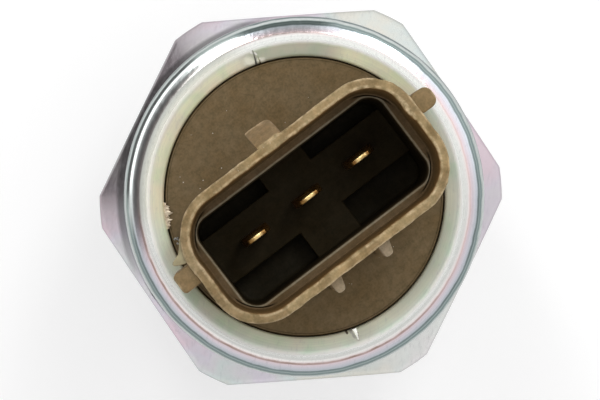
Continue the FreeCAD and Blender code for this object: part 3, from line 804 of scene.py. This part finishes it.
def oblong(half_length, half_width, radius, height, offset=SHROUD_OFFSET):
    """A ring of points round a rounded rectangle, anticlockwise from the end of its first side."""
    ring = []
    straight_x, straight_y = half_length - radius, half_width - radius
    corners = [(1, 1), (-1, 1), (-1, -1), (1, -1)]
    for quarter, (sx, sy) in enumerate(corners):
        centre = Vector((sx * straight_x, sy * straight_y + offset, height))
        for step in range(CORNER_STEPS):
            ring.append(centre + polar(radius, 90 * (quarter + step / CORNER_STEPS), 0))
        nx, ny = corners[(quarter + 1) % 4]
        following = Vector((nx * straight_x, ny * straight_y + offset, height))
        steps = SIDE_STEPS if quarter % 2 == 0 else END_STEPS
        reach = polar(radius, 90 * (quarter + 1), 0)
        for step in range(steps):
            ring.append(blend(centre, following, step / steps) + reach)
    return ring


def weathered(ring, grow):
    """The rim's ring of points with the waves of moulding and the worn step beside one key."""
    inner = grow < -SHROUD_WALL / 2
    points = []
    for point in ring:
        outward = Vector((point.x, point.y - SHROUD_OFFSET, 0)).normalized()
        wave = 0.05 * noise.noise(point * 0.9) + 0.035 * noise.noise(point * 3.5)
        if inner and point.x < -8:
            wave -= 0.15 * max(0.0, 1 - abs(point.y + 0.8) / 1.1) ** 0.5 * (1 + 0.4 * noise.noise(point * 6))
        drop = 0.05 * max(0.0, noise.noise(point * 2.1))
        points.append(point + outward * wave - Vector((0, 0, drop)))
    return points


def shroud_shell():
    """The flange, disc and socket wall as one closed surface, from the well to the pocket floor."""
    outer = oblong(SHROUD_HALF_LENGTH, SHROUD_HALF_WIDTH, SHROUD_CORNER, 0)
    headings = [math.degrees(math.atan2(point.y, point.x)) for point in outer]
    rings = []
    flange = softened([
        (1.0, WELL_TOP), (WELL_RADIUS, WELL_TOP), (WELL_RADIUS, SKIRT_LOW), (SKIRT_RADIUS, SKIRT_LOW),
        (SKIRT_RADIUS, SEAT_HEIGHT), (SPIGOT_RADIUS, SEAT_HEIGHT), (SPIGOT_RADIUS, GLAND_TOP),
        (FLANGE_RADIUS, GLAND_TOP, 0.2), (FLANGE_RADIUS, LIP_UNDER), (DISC_RADIUS, LIP_UNDER),
        (DISC_RADIUS, DISC_TOP, DISC_EDGE), (DISC_RADIUS - 0.12, DISC_TOP)])
    for radius, height in flange:
        rings.append([polar(radius, heading, height) for heading in headings])
    foot = 0.02
    profile = softened([
        (foot + SHROUD_FLARE, DISC_TOP), (SHROUD_FLARE, DISC_TOP + foot), (0.0, RIM, 0.2),
        (-SHROUD_WALL, RIM, 0.2), (-SHROUD_WALL - MOUTH_TAPER, LEDGE, 0.12),
        (-SHROUD_WALL - MOUTH_TAPER - 0.2, LEDGE)])
    for grow, height in profile:
        ring = oblong(SHROUD_HALF_LENGTH + grow, SHROUD_HALF_WIDTH + grow, SHROUD_CORNER + grow, height)
        rings.append(weathered(ring, grow) if height > RIM - 0.4 else ring)
    length = SHROUD_HALF_LENGTH - SHROUD_WALL - MOUTH_TAPER - LEDGE_WIDTH
    width = SHROUD_HALF_WIDTH - SHROUD_WALL - MOUTH_TAPER - LEDGE_WIDTH
    throat = softened([
        (LEDGE_BEVEL + 0.2, LEDGE), (LEDGE_BEVEL, LEDGE, 0.06), (0.0, LEDGE - LEDGE_BEVEL, 0.06),
        (0.0, POCKET_FLOOR, 0.3), (-0.6, POCKET_FLOOR), (-2.0, POCKET_FLOOR)])
    for grow, height in throat:
        corner = max(THROAT_CORNER + grow, 0.2)
        rings.append(oblong(length + grow, width + grow, corner, height))
    return skin("plug_shell", rings)


def block(name, x, y, half_length, half_width, corner, low, high, soft):
    """An upright block with rounded corners and a softened top."""
    profile = [(0, low)] + softened([(0, blend(low, high, 0.5)), (0, high, soft), (-2 * soft, high)])
    rings = []
    for grow, height in profile:
        ring = oblong(half_length + grow, half_width + grow, max(corner + grow, 0.02), height, 0)
        rings.append([point + Vector((x, y, 0)) for point in ring])
    return skin(name, rings)


def stacked(name, outline, layers):
    """A solid from an outline of (x, y) points: each layer is its share of the full width and its height."""
    middle = sum((Vector(point) for point in outline), Vector((0, 0))) / len(outline)
    rings = []
    for share, height in layers:
        rings.append([Vector((*blend(middle, Vector(point), share), height)) for point in outline])
    return skin(name, rings)


def latch():
    """The ramp that the mating plug's latch climbs, with its corners softened and its edge crumbled."""
    wall = SHROUD_OFFSET - SHROUD_HALF_WIDTH
    middle = wall + SHROUD_WALL / 2
    stations = [(-1.0, 0.62), (-0.98, 0.76), (-0.93, 0.86), (-0.84, 0.94), (-0.7, 0.985)]
    stations += [(-0.6 + 0.1 * step, 1.0) for step in range(15)] + [(0.9, 0.99), (0.97, 0.97), (1.0, 0.93)]
    root = Vector((middle, 53.6))
    rings = []
    for x, share in stations:
        crumble = 0.05 * noise.noise(Vector((x * 4.0, 0.3, 7.0)))
        reach = LATCH_REACH + 0.08 * max(0.0, min(1.0, x + 0.6)) + crumble
        section = softened([
            (middle, 55.3), (wall - 0.1, 55.3, 0.15), (wall - reach, LATCH_PEAK, 0.2),
            (wall - 0.9, LATCH_PEAK - 0.35), (middle, LATCH_PEAK - 0.6)])
        rings.append([Vector((x, *blend(root, point, share))) for point in section])
    return skin("latch", rings)


def rib(side):
    """One of the two ribs on the shroud's back, with its slanted side."""
    wall = SHROUD_OFFSET + SHROUD_HALF_WIDTH
    left, right = side * RIB_SPACING - RIB_HALF, side * RIB_SPACING + RIB_HALF
    tip = wall + RIB_REACH
    root = wall - SHROUD_WALL / 2
    outline = [(left, root), (right, root), (right, tip - 0.2), (right - 0.05, tip - 0.06),
               (right - 0.2, tip), (left + RIB_SLANT + 0.15, tip), (left + RIB_SLANT + 0.02, tip - 0.07),
               (left + RIB_SLANT - 0.05, tip - 0.2), (left, wall)]
    return stacked("rib", outline, ((1, DISC_TOP - 0.2), (1, 50), (1, RIB_TOP - 0.1), (0.98, RIB_TOP - 0.03),
                                    (0.93, RIB_TOP)))


def flash():
    """The thin fin of moulding flash between the rim and the left key."""
    outline = [(8.5, -3.15), (8.85, -2.95), (9.15, -2.55), (9.5, -2.20), (9.8, -2.10), (10.1, -2.00),
               (10.22, -1.88), (10.2, -1.75), (9.97, -1.60), (9.65, -1.46), (9.2, -1.35), (8.7, -1.35)]
    layers = ((0.90, 54.2), (0.96, 54.85), (0.99, 55.0), (0.97, 55.06), (0.90, 55.1))
    return stacked("moulding_flash", outline, layers)


def plug_body():
    """The brown moulding with its keys, ribs, latch wedge and the cross in its socket."""
    body = tidied(shroud_shell())
    parts = [latch()]
    parts.append(block("bar", 0, 0, 7.95, CROSS_HALF, 0.1, 39.8, CROSS_TOP, 0.1))
    parts.append(block("column", 0, SHROUD_OFFSET, CROSS_HALF, 3.6, 0.1, 39.8, CROSS_TOP - 0.001, 0.1))
    for side in (-1, 1):
        key_x = side * (SHROUD_HALF_LENGTH + KEY_REACH / 2 - KEY_SUNK)
        parts.append(block("key", key_x, KEY_MIDDLE, KEY_REACH / 2 + KEY_SUNK, KEY_HALF,
                           KEY_CORNERS[side], 40.7, KEY_TOP, 0.15))
        parts.append(rib(side))
    combined(body, "UNION", parts)
    return shaded(tidied(body))


def terminal(node):
    """A terminal strip with its tip coined towards one side and its edges rounded."""
    name = node.name
    strip = new_object(f"{name}_strip", node.data.copy())
    for vertex in strip.data.vertices:
        if vertex.co.z > TIP_START * MM:
            vertex.co.y += TIP_SHIFT * MM
    tidied(strip)
    soft = strip.modifiers.new("soft", "BEVEL")
    soft.width = TERMINAL_EDGE * MM
    soft.segments = 4
    soft.limit_method = "ANGLE"
    soft.angle_limit = math.radians(SHARP_ANGLE)
    return shaded(frozen(strip))


# Small marks of use

def burr():
    """The ragged sliver of steel torn up along the lip's edge."""
    rings = []
    steps = 48
    for step in range(steps + 1):
        share = step / steps
        angle = blend(-34.8, -23.8, share)
        tooth = noise.noise(Vector((share * 13.0, 0.3, 0.7)))
        width = 0.08 + 0.50 * math.sin(math.pi * share) ** 0.7 * max(0.3, 0.70 + 0.8 * tooth)
        lift = 0.10 * noise.noise(Vector((share * 9.0, 3.1, 0.2)))
        outer = polar(LIP_OPENING + 0.06, angle, 39.6)
        inner = polar(LIP_OPENING - width, angle, 39.66 + lift)
        middle = blend(outer, inner, 0.5)
        rings.append([outer, middle + Vector((0, 0, 0.07)), inner, middle - Vector((0, 0, 0.05))])
    return skin("lip_burr", rings)


def specks(name, patches, density, low, high, seed, material):
    """Grains of dust or grit strewn over flat patches by a tree of geometry nodes."""
    sizes = {"Density": density / MM ** 2, "Smallest": low * MM, "Largest": high * MM, "Seed": seed}
    tree = new_tree(name, sizes, True)
    wires = Tree(tree)
    size = wires.inputs()
    spots = wires.node("GeometryNodeDistributePointsOnFaces", {}, {
        "Mesh": size["Geometry"], "Density": size["Density"], "Seed": size["Seed"]}, "Points")
    grain = wires.node("GeometryNodeMeshIcoSphere", {}, {"Radius": 1.0, "Subdivisions": 1}, "Mesh")
    turn = wires.node("FunctionNodeRandomValue", {"data_type": "FLOAT_VECTOR"}, {
        0: (0.0, 0.0, 0.0), 1: (6.28, 6.28, 6.28), "Seed": size["Seed"]})
    wide = wires.node("FunctionNodeRandomValue", {"data_type": "FLOAT"}, {
        2: size["Smallest"], 3: size["Largest"], "Seed": size["Seed"] + 1.0}, 1)
    long = wires.node("FunctionNodeRandomValue", {"data_type": "FLOAT"}, {
        2: size["Smallest"], 3: size["Largest"], "Seed": size["Seed"] + 2.0}, 1)
    strewn = wires.node("GeometryNodeInstanceOnPoints", {}, {
        "Points": spots, "Instance": grain, "Rotation": turn,
        "Scale": wires.vector(wide, long, wide * 0.7)}, "Instances")
    wires.finish(strewn, material)
    points, faces = [], []
    for x0, y0, x1, y1, height in patches:
        faces.append([len(points) + i for i in range(4)])
        points += [Vector((x, y, height)) * MM for x, y in ((x0, y0), (x1, y0), (x1, y1), (x0, y1))]
    mesh = bpy.data.meshes.new(name)
    mesh.from_pydata(points, [], faces)
    return grown(new_object(name, mesh), tree, sizes)


# Scene around the object

def add_camera():
    """The photograph's camera: almost straight down onto the plug socket."""
    lean_x = math.tan(math.radians(CAMERA_LEAN_X))
    lean_y = math.tan(math.radians(CAMERA_LEAN_Y))
    look = Vector((lean_x, lean_y, -1)).normalized()
    side = polar(1, CAMERA_TURN, 0)
    side = (side - look * side.dot(look)).normalized()
    up = side.cross(look)
    camera = bpy.data.objects.new("camera", bpy.data.cameras.new("camera"))
    camera.data.lens = CAMERA_LENS
    camera.data.sensor_width = SENSOR_WIDTH
    camera.data.sensor_fit = "HORIZONTAL"
    camera.data.clip_start = 0.01
    matrix = Matrix((side, up, -look)).transposed().to_4x4()
    matrix.translation = (Vector(CAMERA_TARGET) - look * CAMERA_DISTANCE) * MM
    camera.matrix_world = matrix
    bpy.context.scene.collection.objects.link(camera)
    bpy.context.scene.camera = camera
    return side, up


def add_lamp(name, place, target, width, length, power):
    """A soft lamp, in millimetres and watts, that faces a point and is longest towards it."""
    data = bpy.data.lights.new(name, "AREA")
    data.shape = "RECTANGLE"
    data.size = width * MM
    data.size_y = length * MM
    data.energy = power
    lamp = bpy.data.objects.new(name, data)
    lamp.location = Vector(place) * MM
    lamp.rotation_euler = (Vector(place) - Vector(target)).to_track_quat("Z", "Y").to_euler()
    bpy.context.scene.collection.objects.link(lamp)


def add_world(side, up):
    """A pale room with a dark corner, wall and gap and a bright pane, which the camera sees as white."""
    world = bpy.data.worlds.new("room")
    world.use_nodes = True
    bpy.context.scene.world = world
    w = Tree(world.node_tree)
    w.tree.nodes.clear()
    heading = w.node("ShaderNodeTexCoord", {}, {}, "Generated")
    x, y, z = w.split(heading)
    height = w.map(z, -0.4, 1.0)
    front = w.ramp(height, [
        (0.0, (0.60, 0.60, 0.60)), (0.286, (0.72, 0.72, 0.72)), (0.50, (0.84, 0.84, 0.84)),
        (0.62, (0.98, 0.98, 0.98)), (0.68, (1.02, 1.02, 1.02)), (0.83, (0.98, 0.98, 0.98)),
        (0.92, (0.86, 0.86, 0.86)), (0.986, (0.84, 0.84, 0.84)), (0.997, (0.88, 0.88, 0.88))])
    back = w.ramp(height, [
        (0.0, (0.60, 0.60, 0.60)), (0.286, (0.72, 0.72, 0.72)), (0.60, (0.80, 0.80, 0.80)),
        (0.67, (0.50, 0.50, 0.50)), (0.83, (0.48, 0.48, 0.48)), (0.92, (0.58, 0.57, 0.58)),
        (0.975, (0.78, 0.77, 0.77)), (0.997, (0.52, 0.52, 0.52))])
    flat = (x * x + y * y + 0.0001) ** 0.5

    def towards(degrees):
        """How nearly the heading lies at an angle of the photograph, as a cosine."""
        turn = math.radians(degrees)
        way = side * math.cos(turn) + up * math.sin(turn)
        return (x * way.x + y * way.y) / flat

    room = w.mix(w.ease(towards(92), -0.12, 0.42), back, front)
    corner = w.ease(towards(165), 0.78, 0.90) * w.ease(z, 0.80, 0.86)
    room = w.mix(corner * w.ease(z, 0.985, 0.95), room, (0.20, 0.185, 0.19))
    wall = w.ease(towards(154), 0.865, 0.925) * w.ease(z, 0.60, 0.55)
    room = w.mix(wall * w.ease(z, 0.20, 0.34), room, (0.15, 0.13, 0.135))
    pane = w.ease(towards(150), 0.85, 0.93) * w.ease(z, 0.54, 0.60)
    room = w.mix(pane * w.ease(z, 0.80, 0.74), room, (1.4, 1.4, 1.4))
    gap = w.ease(towards(95), 0.955, 0.975) * w.ease(z, 0.996, 0.982)
    room = w.mix(gap * w.ease(z, 0.40, 0.48), room, (0.26, 0.27, 0.26))
    seen = w.node("ShaderNodeLightPath", {}, {}, "Is Camera Ray")
    shown = w.mix(seen, room, (1 / ROOM_LEVEL, 1 / ROOM_LEVEL, 1 / ROOM_LEVEL))
    light = w.node("ShaderNodeBackground", {}, {"Color": shown, "Strength": ROOM_LEVEL})
    w.node("ShaderNodeOutputWorld", {}, {"Surface": light})


def add_floor():
    """A white floor that keeps the object's shadow."""
    f = Finish("white_floor")
    seen = f.node("ShaderNodeLightPath", {}, {}, "Is Camera Ray")
    paper = f.node("ShaderNodeBsdfDiffuse", {}, {"Color": (0.85, 0.85, 0.85, 1)})
    glow = f.node("ShaderNodeEmission", {}, {"Color": (1, 1, 1, 1), "Strength": 0.25})
    lit = f.node("ShaderNodeAddShader", {}, {0: paper, 1: glow})
    surface = f.node("ShaderNodeMixShader", {}, {0: seen, 1: paper, 2: lit})
    f.node("ShaderNodeOutputMaterial", {}, {"Surface": surface})
    half = FLOOR_HALF * MM
    mesh = bpy.data.meshes.new("floor")
    corners = [(-half, -half, 0), (half, -half, 0), (half, half, 0), (-half, half, 0)]
    mesh.from_pydata(corners, [], [(0, 1, 2, 3)])
    floor = new_object("floor", mesh)
    floor.data.materials.append(f.material)


STEEL = plated_steel()
PLASTIC = brown_plastic()

PLAIN = {
    "stem_steel": ((0.50, 0.50, 0.49), (0.60, 0.59, 0.57), 1.0, 0.25, 0.40, 0.5),
    "bonding_glass": ((0.16, 0.20, 0.24), (0.22, 0.26, 0.30), 0.0, 0.10, 0.20, 2.0),
    "silicon": ((0.13, 0.14, 0.18), (0.18, 0.19, 0.25), 0.6, 0.10, 0.20, 2.0),
    "board_ceramic": ((0.78, 0.77, 0.72), (0.84, 0.83, 0.79), 0.0, 0.45, 0.60, 1.0),
    "adhesive": ((0.55, 0.52, 0.44), (0.64, 0.61, 0.52), 0.0, 0.35, 0.50, 1.0),
    "chip_package": ((0.020, 0.020, 0.022), (0.035, 0.035, 0.037), 0.0, 0.50, 0.70, 3.0),
    "capacitor_ceramic": ((0.42, 0.30, 0.20), (0.50, 0.37, 0.26), 0.0, 0.40, 0.55, 3.0),
    "bond_wire_metal": ((0.80, 0.80, 0.80), (0.88, 0.88, 0.88), 1.0, 0.15, 0.25, 4.0),
    "gel": ((0.70, 0.72, 0.70), (0.78, 0.80, 0.78), 0.0, 0.08, 0.16, 1.0),
    "tinned_copper": ((0.66, 0.65, 0.61), (0.74, 0.73, 0.69), 1.0, 0.25, 0.40, 2.0),
    "solder": ((0.58, 0.58, 0.57), (0.68, 0.68, 0.66), 1.0, 0.25, 0.35, 3.0),
    "carrier_plastic": ((0.030, 0.028, 0.026), (0.045, 0.042, 0.038), 0.0, 0.45, 0.60, 0.8),
    "sealant": ((0.10, 0.10, 0.11), (0.15, 0.15, 0.16), 0.0, 0.20, 0.35, 1.0),
    "seal_rubber": ((0.016, 0.016, 0.017), (0.028, 0.028, 0.029), 0.0, 0.45, 0.60, 1.0),
    "thin_flash": ((0.25, 0.205, 0.11), (0.40, 0.35, 0.20), 0.0, 0.45, 0.60, 1.6),
    "torn_edge": ((0.46, 0.36, 0.25), (0.84, 0.73, 0.55), 0.4, 0.25, 0.45, 3.0, 0.5),
    "dust": ((0.62, 0.57, 0.48), (0.85, 0.82, 0.75), 0.0, 0.55, 0.75, 5.0),
    "grit": ((0.30, 0.32, 0.34), (0.82, 0.84, 0.84), 0.9, 0.20, 0.35, 5.0),
}


def place_piece(piece, slot, material, *nodes):
    """Gives a finished piece its material and its body, and hides the nodes that it stands for. The slot is
    not used.
    """
    piece.data.materials.clear()
    piece.data.materials.append(material)
    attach(piece, "root")
    if nodes:
        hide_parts(*nodes)


side, up = add_camera()
add_world(side, up)
add_floor()
for name, heading, width, power in LAMPS:
    flat = side * math.cos(math.radians(heading)) + up * math.sin(math.radians(heading))
    middle = Vector((0, 0, LIP_TOP))
    place = middle + flat * LAMP_REACH + Vector((0, 0, LAMP_RISE))
    add_lamp(name, place, middle, width, LAMP_LENGTH, power)

bpy.context.scene.view_settings.view_transform = "Standard"

place_piece(housing(), "plated_steel", STEEL, "housing")
place_piece(plug_body(), "brown_plastic", PLASTIC, "plug_body")
finishes = {name: plain_finish(name, *values) for name, values in PLAIN.items()}
finishes["terminal_plating"] = gold_tip()
place_piece(shaded(tidied(burr())), "plated_steel", finishes["torn_edge"])
place_piece(shaded(tidied(flash())), "brown_plastic", finishes["thin_flash"])
disc_patches = [(-6, -8.6, 7.0, -4.75, DISC_TOP), (-5, 5.8, 5, 8, DISC_TOP)]
rim_patches = [(-6.0, -4.52, 6.0, -3.98, RIM - 0.035)]
grit_patches = [(8.95, -3.3, 9.3, -2.6, DISC_TOP + 0.02)]
for name, slot, finish, patches, *grains in (
        ("disc_dust", "brown_plastic", "dust", disc_patches, 0.22, 0.015, 0.055, 4),
        ("rim_dust", "brown_plastic", "dust", rim_patches, 1.5, 0.015, 0.045, 9),
        ("lip_grit", "plated_steel", "grit", grit_patches, 60.0, 0.04, 0.11, 2)):
    place_piece(specks(name, patches, *grains, finishes[finish]), slot, finishes[finish])
for name in ("terminal_left", "terminal_middle", "terminal_right"):
    strip = terminal(frame["nodes"][name])
    place_piece(strip, "terminal_plating", finishes["terminal_plating"], name)
for part in frame["record"]["subparts"]:
    node = frame["nodes"][part["node"]]
    if part["material_slot"] in finishes and not node.hide_render:
        node.material_slots[0].material = finishes[part["material_slot"]]
